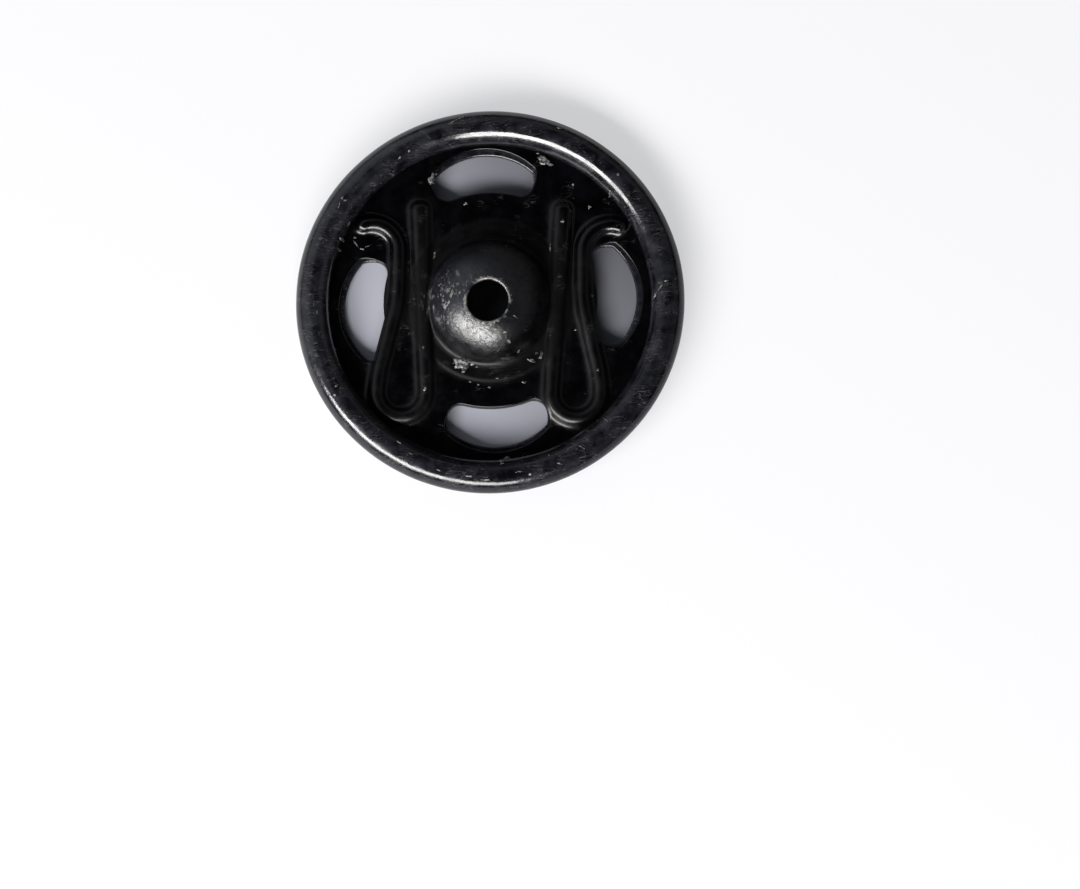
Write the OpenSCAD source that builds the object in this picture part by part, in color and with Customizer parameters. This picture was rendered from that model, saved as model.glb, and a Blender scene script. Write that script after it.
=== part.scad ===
// Sew-on snap fastener, socket half, lying on its front face with the dome up.
// The front cap is curled over the edge of the back plate, and the two sheets
// trap a pair of wire springs in channels that are pressed into the plate.
// The sewing holes lie on the X and Y axes. Z = 0 is the front face.

/* [Front cap] */
// Diameter over the curled rim
snap_d = 15; // [13:0.5:19]
// Sheet thickness of the cap
cap_t = 0.25; // [0.2:0.01:0.35]
// Height of the curled rim, which is round in section
rim_h = 1.3; // [1.2:0.05:1.6]
// Radius of the mouth that takes the ball of the other half
mouth_r = 2.45; // [2.3:0.05:2.5]
// Rounding of the mouth's front edge
mouth_round = 0.04; // [0.02:0.01:0.05]

/* [Back plate] */
// Sheet thickness of the plate
plate_t = 0.2; // [0.15:0.01:0.3]
// Gap between the plate's edge and the line where the cap starts to curl up
plate_edge_gap = 0.1; // [0.05:0.01:0.2]
// Radius of the raised ring around the dome
ring_r = 3.2; // [3:0.05:3.4]
// Height of the raised ring above the plate
ring_h = 0.08; // [0.04:0.01:0.12]
// Width of the slope at the ring's edge
ring_slope = 0.12; // [0.08:0.01:0.2]

/* [Dome] */
// Height of the dome's crown above the front face, before its hole
dome_h = 2.1; // [1.9:0.05:2.4]
// Radius at which the dome's foot meets the plate
dome_foot_r = 2.7; // [2.6:0.05:2.85]
// Radius of the hollow fillet at the dome's foot
dome_fillet = 0.4; // [0.3:0.05:0.5]
// Radius of the hole in the crown
vent_r = 0.8; // [0.5:0.05:1]
// Distance of that hole from the axis, along +X
vent_x = -0.04; // [-0.2:0.01:0.2]
// Distance of that hole from the axis, along +Y
vent_y = -0.2; // [-0.3:0.01:0.1]

/* [Plan] */
// Radius inside the curled rim that the holes and springs below are drawn for. They follow the real one.
drawn_in_r = 6.2; // [5:0.1:8]

/* [Sewing holes] */
// Inner radius of the kidney-shaped holes
slot_in_r = 4.13; // [4:0.05:4.3]
// Radial width of the holes in the cap
slot_w = 1.53; // [1.2:0.01:1.6]
// Half of the angle that each hole spans
slot_half = 24; // [20:1:27]
// Corner radius at the inner side
slot_in_corner = 0.5; // [0.3:0.05:0.6]
// Corner radius at the outer side
slot_out_corner = 1; // [0.5:0.05:1]
// How much further out the holes in the plate reach
slot_ease = 0.22; // [0.1:0.01:0.3]
// Radius of the bulging outer side of a hole
slot_bulge_r = 2.7; // [2.6:0.05:4]
// How much further out the hole at the back is punched
slot_back_out = 0.2; // [0:0.01:0.22]

/* [Springs] */
// Diameter of the spring wire
wire_d = 0.3; // [0.24:0.01:0.34]
// Turn of the spring channels against the sewing holes
channel_turn = -4.1; // [-6:0.1:0]
// Distance from the axis to the middle of the U-turn, across
turn_x = 3.36; // [3.2:0.02:3.5]
// Distance from the axis to the middle of the U-turn, downwards
turn_y = 3.58; // [3.3:0.02:3.7]
// Radius of the U-turn, to the middle of the wire
turn_r = 0.95; // [0.85:0.01:1]
// Length of the straight leg beside the dome
leg_len = 7.18; // [6.6:0.02:7.4]
// Outward lean of that leg
leg_lean = 2.2; // [1.5:0.1:2.8]
// Angle that the leg is pushed outward when a ball passes
flex = 1.2; // [0.8:0.1:1.6]
// Radius of the bend above the U-turn
foot_bend_r = 6; // [4:0.5:8]
// Angle of that bend
foot_bend = 11.5; // [9:0.5:13]
// Length of the slanting stretch of the outer leg
slant_len = 1.9; // [1.6:0.05:2.1]
// Radius of the bend at the waist of the outer leg
waist_bend_r = 5; // [4:0.5:6]
// Length of the upright stretch under the curl
upright_len = 1.35; // [1.1:0.05:1.5]
// Radius of the curl at the end of the outer leg
curl_r = 1.05; // [0.9:0.01:1.1]
// Angle of that curl
curl = 108; // [70:1:112]

/* [Channels] */
// Play around the wire in its channel
wire_play = 0.02; // [0.01:0.005:0.03]
// Thickness of the sheet where it is drawn over the wire
drawn_t = 0.15; // [0.12:0.01:0.2]
// Length above the U-turn where the leg's channel has no room for it to flex
snug_len = 2.6; // [2:0.1:3]

/* [Hidden] */
$fn = 96;
black = [0.06, 0.06, 0.07];
steel = [0.62, 0.62, 0.6];
quarter = 90;
// A hair of extra depth, so that cuts run clear of the faces that they open
past = 0.5;
// The fill between two channels stays this far under their crowns
fill_drop = 0.01;
// How much fatter the lapping steps of the wire and its channel are, and how far they lap
swell = 0.01;
lap = 0.03;
// The corners of a sewing hole stand back this far, so that they never just graze its sides
nick = 0.01;
// The straight sides of a channel stand just inside the width of its round crown
side_share = 0.98;

rim_r = rim_h / 2;
rim_mid_r = snap_d / 2 - rim_r;
curl_in_r = rim_r - cap_t;
plate_top = cap_t + plate_t;
plate_r = rim_mid_r - plate_edge_gap;
plan = (rim_mid_r - rim_r) / drawn_in_r;

foot_z = plate_top + ring_h;
crown_r = dome_crown_r(dome_h - foot_z, dome_foot_r, dome_fillet);
crown_z = dome_h - crown_r;
foot_slope = asin(dome_foot_r / (crown_r + dome_fillet));

wire_z = cap_t + wire_play + wire_d / 2;
channel_r = wire_d / 2 + wire_play;
ridge_r = channel_r + drawn_t;

// Down the straight leg, round the U-turn, up the outer leg and round the curl.
// Each step is a straight [length, 0] or an arc [radius, angle], left turns positive.
leg_heading = 3 * quarter - leg_lean;
rise_heading = quarter + 2;
turn_angle = rise_heading + 4 * quarter - leg_heading;
wire_steps = [
    [plan * leg_len, 0],
    [plan * turn_r, turn_angle],
    [plan * foot_bend_r, foot_bend],
    [plan * slant_len, 0],
    [plan * waist_bend_r, quarter - rise_heading - foot_bend],
    [plan * upright_len, 0],
    [plan * curl_r, -curl]
];
leg_foot = plan * ([turn_x, -turn_y] + turn_r * unit(leg_heading - quarter));
leg_top = plan * leg_len;
leg_tip = leg_foot - leg_top * unit(leg_heading);
leg_room = leg_top * sin(flex);

function unit(a) = [cos(a), sin(a)];

// The crown's radius that makes it tangent to the foot's fillet
function dome_crown_r(h, foot, fillet) = (foot * foot + h * h - 2 * h * fillet) / (2 * h);

// Where step i of the wire starts, and which way it heads there
function heading_at(i) = i == 0 ? leg_heading : heading_at(i - 1) + wire_steps[i - 1][1];
function side(step) = step[1] > 0 ? 1 : -1;
function arc_mid(i) = start_at(i) + wire_steps[i][0] * unit(heading_at(i) + side(wire_steps[i]) * quarter);
function start_at(i) = i == 0 ? leg_tip : end_of(i - 1);
function end_of(i) = wire_steps[i][1] == 0
    ? start_at(i) + wire_steps[i][0] * unit(heading_at(i))
    : arc_mid(i) + wire_steps[i][0] * unit(heading_at(i + 1) - side(wire_steps[i]) * quarter);

// The angle that a length spans on an arc of radius r
function arc_angle(length, r) = length / r * 2 * quarter / PI;

// Sweeps a profile along one step, and a little past both its ends. X is across and Y is up.
module along_step(i, beyond) {
    step = wire_steps[i];
    if (step[1] == 0)
        translate(start_at(i) - beyond * unit(heading_at(i))) rotate([quarter, 0, heading_at(i) + quarter])
            linear_extrude(step[0] + 2 * beyond) children();
    else
        translate(arc_mid(i))
            rotate([0, 0, heading_at(i) - side(step) * quarter + min(step[1], 0) - arc_angle(beyond, step[0])])
                rotate_extrude(angle = abs(step[1]) + 2 * arc_angle(beyond, step[0]))
                    translate([step[0], 0]) children();
}

// Every second step is a hair fatter and laps over its neighbours, so that the sweep is one solid
module along_wire(first = 0) {
    for (i = [first:len(wire_steps) - 1]) {
        $fatter = i % 2 == 0 ? 0 : swell;
        along_step(i, i % 2 == 0 ? 0 : lap) children();
    }
}

// Section of a channel: an arch of radius r over the wire's axis, with straight sides down to z = low
module arch(r, low) {
    translate([0, wire_z]) circle(r);
    translate([-r * side_share, low]) square([2 * r * side_share, wire_z - low]);
}

// The same arch turned about its own axis, which closes the end of a channel
module arch_end(r, low) {
    rotate_extrude() intersection() {
        arch(r, low);
        translate([0, low]) square([2 * r, wire_z + 2 * r - low]);
    }
}

// The arch along the wire, with room beside the straight leg for it to flex
module channel(r, low) {
    along_wire(1) arch(r + $fatter, low);
    translate(end_of(len(wire_steps) - 1)) arch_end(r + swell, low);
    on_leg() {
        leg_arch(r, low, 0);
        translate([leg_room, 0, 0]) {
            leg_arch(r, low, plan * snug_len);
            translate([0, plan * snug_len, 0]) arch_end(r + swell, low);
        }
        translate([0, plan * snug_len, low])
            cube([leg_room, leg_top - plan * snug_len, wire_z + r - fill_drop - low]);
    }
}

// Places a shape that is drawn with the straight leg's foot at the origin and its tip up +Y
module on_leg() {
    translate(leg_foot) rotate([0, 0, -leg_lean]) children();
}

// The arch over the straight leg, from a distance above its foot to a round end at its tip
module leg_arch(r, low, from) {
    translate([0, leg_top, 0]) {
        rotate([quarter, 0, 0]) linear_extrude(leg_top - from) arch(r, low);
        arch_end(r + swell, low);
    }
}

// Both springs' copies of a shape that is drawn for the right one
module left_and_right() {
    rotate([0, 0, channel_turn]) {
        children();
        mirror([1, 0, 0]) children();
    }
}

// Part of a ring, between two radii and within half_angle of the X axis
module ring_part(inner, outer, half_angle, h) {
    far = 2 * outer;
    intersection() {
        difference() {
            cylinder(r = outer, h = h);
            translate([0, 0, -past]) cylinder(r = inner, h = h + 2 * past);
        }
        linear_extrude(h) polygon([[0, 0], far * unit(-half_angle), far * unit(half_angle)]);
    }
}

// One kidney-shaped hole on the X axis, with rounded corners
module kidney(inner, outer, h) {
    in_corner = plan * slot_in_corner;
    out_corner = plan * slot_out_corner;
    in_mid = inner + in_corner;
    out_mid = outer - out_corner;
    in_half = slot_half - asin(in_corner / in_mid);
    out_half = slot_half - asin(out_corner / out_mid);
    bulge_r = plan * slot_bulge_r;
    intersection() {
        translate([outer - lap - bulge_r, 0, -past]) cylinder(r = bulge_r, h = h + 2 * past);
        union() {
            ring_part(in_mid, out_mid, slot_half, h);
            ring_part(inner, out_mid, in_half, h);
            ring_part(in_mid, outer, out_half, h);
            for (s = [-1, 1]) {
                rotate([0, 0, s * in_half]) translate([in_mid, 0, 0]) cylinder(r = in_corner - nick, h = h);
                rotate([0, 0, s * out_half]) translate([out_mid, 0, 0]) cylinder(r = out_corner - nick, h = h);
            }
        }
    }
}

// All four holes, which reach further out in the plate than in the cap
module kidneys(ease, low, h) {
    for (i = [0:3]) rotate([0, 0, i * quarter]) translate([i == 1 ? plan * slot_back_out : 0, 0, low])
        kidney(plan * slot_in_r, plan * (slot_in_r + slot_w + ease), h);
}

// Section of the cap: mouth, flat front and a round curl that ends on the plate
module cap_section() {
    round_end = mouth_r + mouth_round;
    translate([mouth_r, mouth_round]) square([rim_mid_r - mouth_r, cap_t - mouth_round]);
    translate([round_end, 0]) square([rim_mid_r - round_end, cap_t]);
    translate([round_end, mouth_round]) circle(mouth_round);
    difference() {
        translate([rim_mid_r, rim_r]) circle(rim_r);
        translate([rim_mid_r, rim_r]) circle(curl_in_r);
        translate([0, -past]) square([rim_mid_r, plate_top + past]);
    }
}

// The strip of the cap that stays under a spring where it crosses a sewing hole
module wire_strip(r) {
    translate([-r, -2 * past]) square([2 * r, 4 * past]);
}

module socket_cap() {
    color(black) difference() {
        rotate_extrude() cap_section();
        difference() {
            kidneys(0, -past, cap_t + 2 * past);
            left_and_right() along_wire() wire_strip(ridge_r + $fatter);
        }
    }
}

// Section of the dome, its foot and the raised ring, on a base at the given height
module dome_section(base, crown, fillet) {
    ring_top = base + ring_h;
    touch = [0, crown_z] + crown * unit(quarter - foot_slope);
    polygon([[0, base], [ring_r, base], [ring_r - ring_slope, ring_top], [0, ring_top]]);
    difference() {
        polygon([[0, ring_top], [dome_foot_r, ring_top], touch, [0, touch.y]]);
        translate([dome_foot_r, ring_top + fillet]) circle(fillet);
    }
    intersection() {
        translate([0, crown_z]) circle(crown);
        translate([0, touch.y]) square(crown);
    }
}

module back_plate() {
    color(black) difference() {
        union() {
            difference() {
                union() {
                    translate([0, 0, cap_t - past]) cylinder(r = plate_r, h = plate_t + past);
                    rotate_extrude() dome_section(plate_top, crown_r, dome_fillet);
                }
                kidneys(slot_ease, cap_t - 2 * past, plate_t + 3 * past);
            }
            left_and_right() channel(ridge_r, cap_t - past);
        }
        dome_hollow();
        left_and_right() channel(channel_r, cap_t - 2 * past);
        translate([vent_x, vent_y, 0]) cylinder(r = vent_r, h = dome_h + past);
        below_the_plate();
    }
}

// One block takes all that the plate has below the cap's sheet, so that its underside is flat
module below_the_plate() {
    translate([-snap_d, -snap_d, cap_t - 4 * past]) cube([2 * snap_d, 2 * snap_d, 4 * past]);
}

// The space under the dome and the raised ring, one sheet thickness inside the skin
module dome_hollow() {
    rotate_extrude() {
        dome_section(cap_t, crown_r - plate_t, dome_fillet + plate_t);
        translate([0, cap_t - 2 * past]) square([ring_r, 2 * past]);
    }
}

module wire() {
    along_wire() translate([0, wire_z]) circle(wire_d / 2 + $fatter);
}

module right_spring() {
    color(steel) rotate([0, 0, channel_turn]) wire();
}

module left_spring() {
    color(steel) rotate([0, 0, channel_turn]) mirror([1, 0, 0]) wire();
}

socket_cap();
back_plate();
left_spring();
right_spring();
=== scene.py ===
import math

import bmesh
import bpy
import numpy as np
from mathutils import Matrix, Vector


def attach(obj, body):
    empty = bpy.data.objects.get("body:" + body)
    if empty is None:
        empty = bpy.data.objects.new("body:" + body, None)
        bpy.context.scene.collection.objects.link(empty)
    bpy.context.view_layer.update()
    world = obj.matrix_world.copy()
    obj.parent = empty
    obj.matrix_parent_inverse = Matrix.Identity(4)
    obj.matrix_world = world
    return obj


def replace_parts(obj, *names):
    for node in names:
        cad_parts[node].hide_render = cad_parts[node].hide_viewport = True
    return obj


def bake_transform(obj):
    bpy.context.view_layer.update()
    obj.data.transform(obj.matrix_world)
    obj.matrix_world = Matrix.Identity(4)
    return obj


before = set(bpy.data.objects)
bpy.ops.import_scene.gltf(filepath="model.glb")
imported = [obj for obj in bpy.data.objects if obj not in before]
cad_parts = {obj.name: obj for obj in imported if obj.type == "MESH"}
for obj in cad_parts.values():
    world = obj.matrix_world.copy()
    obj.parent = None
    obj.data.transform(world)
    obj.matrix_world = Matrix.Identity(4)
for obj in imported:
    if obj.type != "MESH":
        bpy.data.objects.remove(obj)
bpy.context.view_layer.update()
mm = 0.001
weld = 2e-7  # points nearer than this, in metres, become one
print("frame loaded", sorted(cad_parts))

# Sizes shared by the pieces, in millimetres, as in the part's source
snap = {
    "capSheet": 0.25,  # thickness of the cap's sheet
    "mouth": 2.45,  # radius of the mouth in the cap
    "rim": 0.65,  # radius of the curl's round section
    "rimMiddle": 6.85,  # radius of the circle that the curl's middle runs on
    "plateTop": 0.45,  # height of the plate's flat top
    "plateEdge": 6.72,
    "holeIn": 4.13,  # inner radius of the sewing holes
    "holeOut": 5.66,  # outer radius of the holes in the cap
    "holeEase": 0.22,  # how much further out the plate's holes reach
    "holeHalf": 24.0,  # half of the angle that a hole spans
    "cornerIn": 0.5,
    "cornerOut": 1.0,
    "holeBulge": 2.7,  # radius of a hole's bulging outer side
    "holeBackOut": 0.2,  # how much further out the hole at the back sits
    "vent": (-0.04, -0.2, 0.8),  # middle and radius of the hole in the dome
    "ridge": 0.32,  # half width of a pressed channel
    "wireHeight": 0.42,
    "wire": 0.15,  # radius of the spring wire
}


def smoothStep(x):
    x = np.clip(x, 0, 1)
    return x * x * (3 - 2 * x)


def smoothMax(a, b, k):
    # The larger of the two, with the crossing rounded over a height k
    h = np.clip(0.5 + 0.5 * (a - b) / k, 0, 1)
    return b + (a - b) * h + k * h * (1 - h)


def newObject(name, data):
    made = bpy.data.objects.new(name, data)
    bpy.context.scene.collection.objects.link(made)
    return made


def meshPiece(name, points, faces, material, body="housing"):
    # Puts whole arrays into a mesh, closes its seams and turns its faces outward
    mesh = bpy.data.meshes.new(name)
    mesh.from_pydata((np.asarray(points) * mm).tolist(), [], faces)
    work = bmesh.new()
    work.from_mesh(mesh)
    bmesh.ops.remove_doubles(work, verts=work.verts, dist=weld)
    bmesh.ops.recalc_face_normals(work, faces=work.faces)
    work.to_mesh(mesh)
    work.free()
    mesh.shade_smooth()
    piece = newObject(name, mesh)
    mesh.materials.append(material)
    if body:
        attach(piece, body)
    print("made", name, len(mesh.polygons), "faces")
    return piece


def gridFaces(rows, columns, closedRows=False, closedColumns=False):
    # Quads of a grid whose point (i, j) has the number i * columns + j
    i = np.arange(rows if closedRows else rows - 1)
    j = np.arange(columns if closedColumns else columns - 1)
    i, j = (a.ravel() for a in np.meshgrid(i, j, indexing="ij"))
    down, right = (i + 1) % rows, (j + 1) % columns
    corners = (i, j), (down, j), (down, right), (i, right)
    return np.stack([row * columns + column for row, column in corners], 1)


def circle(count):
    # Evenly spaced angles all round
    return np.linspace(0, 2 * np.pi, count, endpoint=False)


# The spring's path: down the leg beside the dome, round the U-turn, up the outer leg and
# round the curl. Each step is a straight (length, 0) or an arc (radius, angle), left positive.
spring = {
    "turn": -4.1,  # turn of both springs against the sewing holes
    "middle": (3.36, -3.58),  # middle of the U-turn
    "turnRadius": 0.95,
    "lean": 2.2,
    "outHeading": 92,  # the way the path takes after the U-turn
    "legLength": 7.18,
    "legRoom": 0.15,  # sideways room that the leg's tip has to flex
    "steps": [(6.0, 11.5), (1.9, 0), (5.0, -13.5), (1.35, 0), (1.05, -108)],
    "sampled": 0.02,
    "batches": 12,  # the path is measured in so many parts, to spare memory
}


def unit(degrees):
    return np.array([math.cos(math.radians(degrees)), math.sin(math.radians(degrees))])


def springPath():
    # Walks the steps and returns points at even spacing along them, and the leg's foot
    heading = 270 - spring["lean"]
    foot = np.array(spring["middle"]) + spring["turnRadius"] * unit(heading - 90)
    at = foot - spring["legLength"] * unit(heading)
    uTurn = (spring["turnRadius"], spring["outHeading"] + 360 - heading)
    points = [at[None]]
    for size, angle in [(spring["legLength"], 0), uTurn] + spring["steps"]:
        length = size if angle == 0 else size * math.radians(abs(angle))
        t = np.linspace(0, 1, max(2, int(length / spring["sampled"])))[1:]
        if angle == 0:
            leg = at + np.outer(t * size, unit(heading))
        else:
            side = math.copysign(1, angle)
            middle = at + size * unit(heading + side * 90)
            around = np.radians(heading - side * 90 + angle * t)
            leg = middle + size * np.stack([np.cos(around), np.sin(around)], 1)
        points.append(leg)
        at, heading = leg[-1], heading + angle
    return np.concatenate(points), foot


wirePath, legFoot = springPath()


def toPattern(x, y):
    # Turns a place into the springs' own frame and folds the left spring onto the right one
    c, s = unit(-spring["turn"])
    return np.abs(x * c - y * s), x * s + y * c


def pathDistance(x, y):
    # Distance to the nearest channel's middle line, nil within the room beside the leg
    u, v = toPattern(x, y)
    c, s = unit(spring["lean"])
    across = (u - legFoot[0]) * c - (v - legFoot[1]) * s
    along = (u - legFoot[0]) * s + (v - legFoot[1]) * c
    past = np.maximum(np.maximum(-along, along - spring["legLength"]), 0)
    room = spring["legRoom"] * np.clip(along / spring["legLength"], 0, 1)
    beside = np.maximum(np.maximum(-across, across - room), 0)
    best = np.hypot(past, beside)
    for part in np.array_split(wirePath.astype(np.float32), spring["batches"]):
        d = np.hypot(u[..., None] - part[:, 0], v[..., None] - part[:, 1]).min(-1)
        best = np.minimum(best, d)
    return best


# How the sewing holes are cut into a grid
cutter = {
    "arcPoints": 220,
    "sidePoints": 60,
    "early": 0.999,  # a straight side starts a hair before the inner corner ends
    "lap": 0.03,  # how far the bulging side cuts into the hole's outer arc
    "batch": 4000,  # points measured at a time
    "near": 1.0,  # a channel is looked for this near a hole
    "inside": 0.6,  # and a hole this far inside the inner radius of the holes
    "step": 1e-3,  # over which a slope is measured
    "flattest": 0.3,  # the least slope, squared, that is believed
    "rounds": 4,
    "furthest": 0.08,  # that a point moves in one round
    "pull": 1.04,  # points within this share of half a spacing move to the edge
    "roundLevels": 4,  # rings in a rounded edge
    "thickShare": 0.45,  # the most of a sheet that one rounding takes
}


def kidneyOutline(outer):
    # Points and outward normals of a sewing hole on +X: two arcs joined by rounded corners.
    # Also the middle of the circle that gives the outer side its bulge.
    half, cornerIn, cornerOut = snap["holeHalf"], snap["cornerIn"], snap["cornerOut"]
    inMid, outMid = snap["holeIn"] + cornerIn, outer - cornerOut
    inHalf = half - math.degrees(math.asin(cornerIn / inMid))
    outHalf = half - math.degrees(math.asin(cornerOut / outMid))

    def arc(middle, radius, first, last, facing=1):
        a = np.radians(np.linspace(first, last, cutter["arcPoints"]))
        n = np.stack([np.cos(a), np.sin(a)], 1)
        return np.asarray(middle) + radius * n, n * facing

    parts = [
        arc((0, 0), outer, -outHalf, outHalf),
        arc(outMid * unit(outHalf), cornerOut, outHalf, half + 90),
        arc(inMid * unit(inHalf), cornerIn, half + 90, inHalf + 180),
        arc((0, 0), snap["holeIn"], inHalf, -inHalf, -1),
        arc(inMid * unit(-inHalf), cornerIn, 180 - inHalf, 270 - half),
        arc(outMid * unit(-outHalf), cornerOut, 270 - half, 360 - outHalf),
    ]
    count = cutter["sidePoints"]
    for s in (1, -1):  # the straight sides
        ends = inMid * unit(s * half) * cutter["early"], outMid * unit(s * half)
        t = np.linspace(0, 1, count)[:, None]
        parts.append((ends[0] * (1 - t) + ends[1] * t, np.tile(unit(s * (half + 90)), (count, 1))))
    bulgeMiddle = outer - cutter["lap"] - snap["holeBulge"]
    return np.concatenate([p for p, n in parts]), np.concatenate([n for p, n in parts]), bulgeMiddle


def holeDistance(x, y, outline):
    # Signed distance to the edge of the nearest sewing hole, less than nil inside it.
    # A spring's channel that crosses a hole stays whole, so the hole stops beside it.
    quarter = np.round(np.arctan2(y, x) / (np.pi / 2)) * (np.pi / 2)
    atBack = np.isclose(quarter, np.pi / 2)
    u = x * np.cos(quarter) + y * np.sin(quarter)
    v = y * np.cos(quarter) - x * np.sin(quarter)
    u = u - np.where(atBack, snap["holeBackOut"], 0)
    points, normals, bulgeMiddle = outline
    out = np.empty(u.shape)
    for pick in np.array_split(np.arange(u.size), max(1, u.size // cutter["batch"])):
        d = np.hypot(u.flat[pick][:, None] - points[:, 0], v.flat[pick][:, None] - points[:, 1])
        k = d.argmin(1)
        away = np.stack([u.flat[pick], v.flat[pick]], 1) - points[k]
        out.flat[pick] = d[np.arange(len(pick)), k] * np.where((away * normals[k]).sum(1) < 0, -1, 1)
    out = np.maximum(out, np.hypot(u - bulgeMiddle, v) - snap["holeBulge"])
    near = out < cutter["near"]
    out[near] = np.maximum(out[near], snap["ridge"] - pathDistance(x[near], y[near]))
    return out


def pierce(x, y, quads, outline, grid):
    # Moves the grid's points that lie near a hole onto its edge, and drops the quads inside it.
    # Returns the points, the faces and the way into the hole at each point.
    x, y = x.copy(), y.copy()
    step, most = cutter["step"], cutter["furthest"]

    def field(px, py):
        return holeDistance(px, py, outline) - grid["edge"]

    f = np.full(x.shape, 9.0)  # well outside every hole
    close = np.hypot(x, y) > snap["holeIn"] - cutter["inside"]
    f[close] = field(x[close], y[close])
    first, second = quads[:, 0], quads[:, 1]
    between = np.hypot(x[first] - x[second], y[first] - y[second]).mean()
    spacing = 0.5 * np.maximum(between, 2 * np.pi * np.hypot(x, y) / grid["around"])
    spacing = np.maximum(spacing, 0.5 * grid["ringGap"]) * cutter["pull"]
    onEdge = np.abs(f) < spacing
    for _ in range(cutter["rounds"]):
        px, py = x[onEdge], y[onEdge]
        f0 = field(px, py)
        gx = (field(px + step, py) - f0) / step
        gy = (field(px, py + step) - f0) / step
        size = np.maximum(gx * gx + gy * gy, cutter["flattest"])
        x[onEdge] -= np.clip(f0 * gx / size, -most, most)
        y[onEdge] -= np.clip(f0 * gy / size, -most, most)
    inward = np.zeros((x.size, 2))
    length = np.maximum(np.hypot(gx, gy), 1e-6)
    inward[onEdge] = -np.stack([gx / length, gy / length], 1)
    kind = np.where(onEdge, 0, np.sign(f)).astype(int)
    corner = kind[quads]
    inside = (corner < 0).sum(1)
    faces = [q.tolist() for q in quads[(inside == 0) & (corner.max(1) > 0)]]
    for k in range(4):  # a quad that the edge crosses from corner to corner keeps one half
        a, b, c, d = (corner[:, (k + n) % 4] for n in range(4))
        pick = (inside == 1) & (a < 0) & (b == 0) & (d == 0) & (c > 0)
        faces += [[q[(k + n) % 4] for n in (1, 2, 3)] for q in quads[pick].tolist()]
    return x, y, faces, inward


def closeSheet(top, bottomHeight, faces, outward, edge):
    # Closes a pierced sheet: the same faces below, and every open edge rounded over and
    # joined to the underside by a wall. outward says which way the wall of a point faces.
    count = len(top)
    bottom = np.column_stack([top[:, :2], bottomHeight])
    ways = {(a, b): True for f in faces for a, b in zip(f, f[1:] + f[:1])}
    border = np.array([way for way in ways if (way[1], way[0]) not in ways])
    rim, flat = np.unique(border, return_inverse=True)
    border = flat.reshape(border.shape)
    angles = np.linspace(0, np.pi / 2, cutter["roundLevels"] + 1)[1:]
    e = np.minimum(edge, cutter["thickShare"] * (top[rim, 2] - bottom[rim, 2]))
    rings = []
    for a, height, sign in [(a, top, -1) for a in angles] + [(a, bottom, 1) for a in angles[::-1]]:
        shift = outward[rim] * (e * np.sin(a))[:, None]
        level = height[rim, 2] + sign * e * (1 - np.cos(a))
        rings.append(np.column_stack([top[rim, :2] + shift, level]))
    points = np.concatenate([top, bottom] + rings)
    made = list(faces) + [[v + count for v in f[::-1]] for f in faces]
    walls = [2 * count + k * len(rim) + np.arange(len(rim)) for k in range(len(rings))]
    rows = [rim] + walls + [rim + count]
    for upper, lower in zip(rows[:-1], rows[1:]):
        a, b = border[:, 0], border[:, 1]
        made += np.stack([upper[b], upper[a], lower[a], lower[b]], 1).tolist()
    used = np.unique(np.concatenate([np.asarray(f) for f in made]))
    number = np.zeros(len(points), int)
    number[used] = np.arange(len(used))
    return points[used], [number[f].tolist() for f in made]


def polarGrid(radii, around, middle=None):
    # Rings about the axis. middle gives the centre of each ring.
    a = circle(around)
    x = radii[:, None] * np.cos(a)
    y = radii[:, None] * np.sin(a)
    if middle is not None:
        x, y = x + middle[:, :1], y + middle[:, 1:]
    return x.ravel(), y.ravel(), gridFaces(len(radii), around, closedColumns=True)


def faceBorders(outward, around):
    # On the grid's own borders the walls face the axis and away from it
    a = circle(around)
    away = np.stack([np.cos(a), np.sin(a)], 1)
    outward[:around] = -away
    outward[-around:] = away


# The plate's dome, ring and channels
dome = {
    "height": 2.1,  # of the crown, before its hole
    "foot": 2.7,  # radius at the foot
    "fillet": 0.4,
    "ring": 3.2,  # radius of the raised ring round the foot
    "ringHeight": 0.08,
    "ringSlope": 0.2,
    "sheet": 0.2,
    "channelFillet": 0.35,  # hollow fillet along a channel
    "crossing": 0.05,  # height over which dome and channels run into each other
    "drawn": 0.15,  # sheet left over the wire
    "drawnFrom": 0.02,  # height of a channel where the thinner sheet starts
    "drawnIn": 0.3,  # how far inside the foot it reaches
    "flank": 0.55,  # added share of sheet, straight down, on the dome's steep side
    "flankFoot": (0.1, 0.5),  # how far past the foot that ends, and over what width
    "flankCrown": (0.5, 1.2),  # the radius where it ends on the crown, and over what width
}


def domeHeight(r):
    # Section of the dome: a ball's crown, a hollow fillet at its foot and a low ring round it
    base = snap["plateTop"]
    foot = base + dome["ringHeight"]
    h = dome["height"] - foot
    crown = (dome["foot"] ** 2 + h * h - 2 * h * dome["fillet"]) / (2 * h)
    touch = crown * dome["foot"] / (crown + dome["fillet"])
    ball = dome["height"] - crown + np.sqrt(np.maximum(crown**2 - r * r, 0))
    within = dome["fillet"] ** 2 - (dome["foot"] - r) ** 2
    hollow = foot + dome["fillet"] - np.sqrt(np.maximum(within, 0))
    ring = base + dome["ringHeight"] * smoothStep((dome["ring"] - r) / dome["ringSlope"])
    return np.where(r < touch, ball, np.where(r < dome["foot"], hollow, ring))


def channelHeight(d):
    # Section of a channel above the plate: a round crown that runs out in a hollow fillet
    low = snap["wireHeight"] - snap["plateTop"]
    r, f = snap["ridge"], dome["channelFillet"]
    reach = math.sqrt((r + f) ** 2 - (f - low) ** 2)
    touch = reach * r / (r + f)
    crown = low + np.sqrt(np.maximum(r * r - d * d, 0))
    hollow = f - np.sqrt(np.maximum(f * f - (reach - d) ** 2, 0))
    return np.where(d < touch, crown, np.where(d < reach, hollow, 0))


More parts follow.
